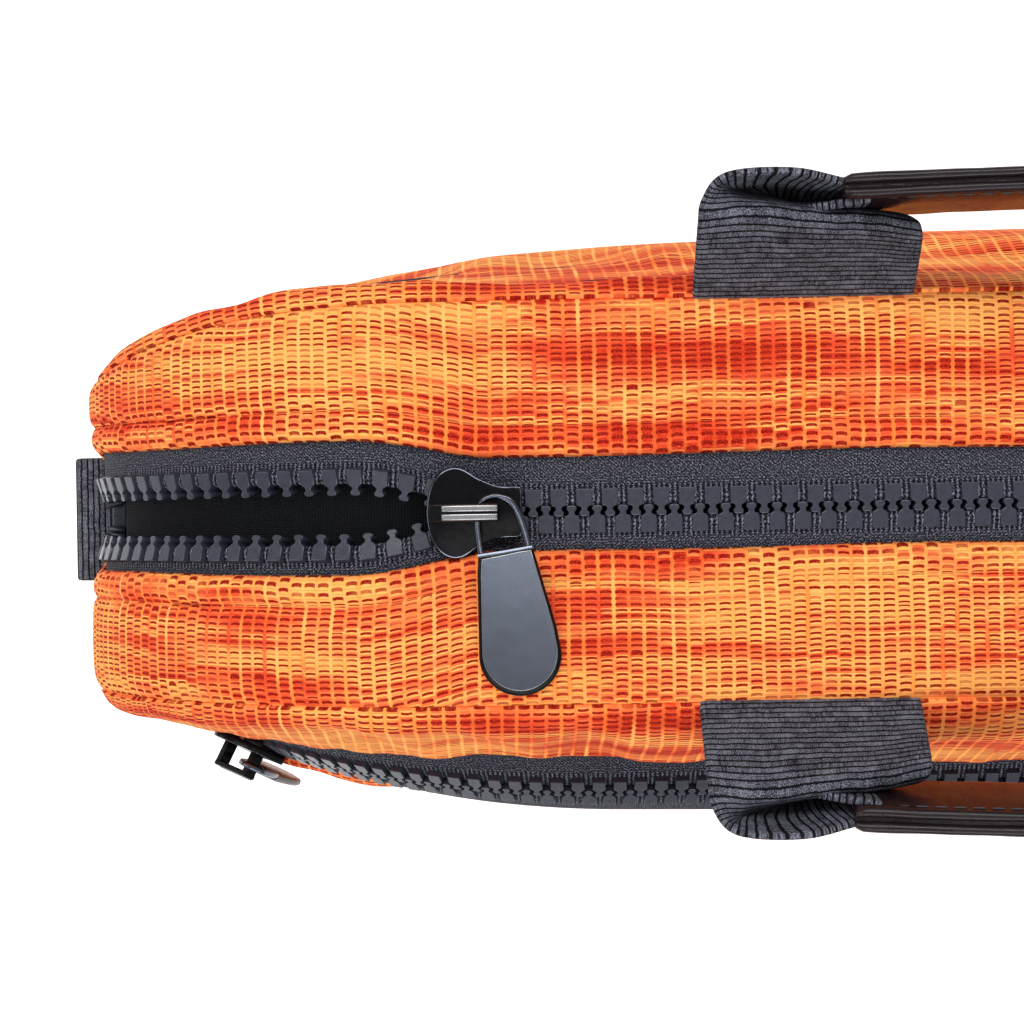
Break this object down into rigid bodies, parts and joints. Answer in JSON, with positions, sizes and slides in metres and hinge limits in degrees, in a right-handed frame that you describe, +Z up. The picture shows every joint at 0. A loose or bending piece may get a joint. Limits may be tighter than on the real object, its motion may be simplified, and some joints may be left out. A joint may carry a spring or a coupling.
{
  "type": "sandbag",
  "caption": "Zip-top sandbag like a soft carrying bag: orange woven cover, leather-gripped webbing handles, front zip pocket, and a cloth pouch of sand inside.",
  "frame": {"origin": "middle of the flat base, midway between the ends and on the line under the main zip", "axes": "+Z up, +X along the bag with the open end of the zip at -X, front pocket towards -Y"},
  "size_m": [0.4358, 0.1223, 0.3283],
  "materials": {
    "orange_cloth": "heathered plain weave",
    "black_lining": "matt knitted cloth",
    "zip_tape": "fine twill tape",
    "zip_teeth": "moulded, semi-gloss",
    "gunmetal": "black gunmetal plate",
    "webbing": "ribbed nylon webbing",
    "black_leather": "glossy black",
    "sand": "dry grains"
  },
  "bodies": {
    "bag": {"rear_panel": "orange_cloth", "front_yoke": "orange_cloth", "pocket_panel": "orange_cloth", "pocket_backing": "black_lining", "rear_lining": "black_lining", "top_band_rear": "orange_cloth", "top_band_front": "orange_cloth", "end_gusset_left": "orange_cloth", "end_gusset_right": "orange_cloth", "base_panel": "orange_cloth", "seam_binding_rear": "black_lining", "seam_binding_front": "black_lining", "main_tape_rear": "zip_tape", "main_tape_front": "zip_tape", "main_teeth_rear": "zip_teeth", "main_teeth_front": "zip_teeth", "main_end_stops": "zip_teeth", "pocket_tape_upper": "zip_tape", "pocket_tape_lower": "zip_tape", "pocket_teeth_upper": "zip_teeth", "pocket_teeth_lower": "zip_teeth", "pocket_end_stops": "zip_teeth", "end_tab_left": "webbing", "end_tab_right": "webbing", "pouch_front": "black_lining", "pouch_rear": "black_lining", "pouch_gusset": "black_lining", "pouch_closure": "black_lining", "sand_fill": "sand"},
    "main_slider": {"main_slider": "gunmetal"},
    "main_pull": {"main_pull": "gunmetal"},
    "pocket_slider": {"pocket_slider": "gunmetal"},
    "pocket_pull": {"pocket_pull": "gunmetal"},
    "rear_handle": {"rear_handle_strap": "webbing", "rear_grip_wrap": "black_leather"},
    "front_handle": {"front_handle_strap": "webbing", "front_grip_wrap": "black_leather"}
  },
  "joints": [
    {"name": "main_slider_run", "type": "slide", "parent": "bag", "child": "main_slider", "axis": [1, 0, 0], "range_m": [-0.004, 0.27], "deforming": ["main_teeth_rear", "main_teeth_front", "main_tape_rear", "main_tape_front"]},
    {"name": "main_pull_swing", "type": "hinge", "parent": "main_slider", "child": "main_pull", "pos_m": [-0.132, 0, 0.30495], "axis": [0, 0, 1], "range_deg": [-25, 200]},
    {"name": "pocket_slider_run", "type": "hinge", "parent": "bag", "child": "pocket_slider", "pos_m": [-0.11, -0.02784, 0.17197], "axis": [0, 0.9703, 0.2419], "range_deg": [0, 24], "deforming": ["pocket_teeth_upper", "pocket_teeth_lower", "pocket_tape_upper", "pocket_tape_lower"]},
    {"name": "pocket_pull_swing", "type": "hinge", "parent": "pocket_slider", "child": "pocket_pull", "pos_m": [-0.18235, -0.05035, 0.24261], "axis": [-0.4216, -0.8849, 0.1981], "range_deg": [-10, 95]},
    {"name": "rear_handle_swing", "type": "hinge", "parent": "bag", "child": "rear_handle", "pos_m": [0, 0.036, 0.3], "axis": [1, 0, 0], "range_deg": [-35, 85]},
    {"name": "front_handle_swing", "type": "hinge", "parent": "bag", "child": "front_handle", "pos_m": [0, -0.033, 0.3], "axis": [-1, 0, 0], "range_deg": [-30, 85]}
  ]
}
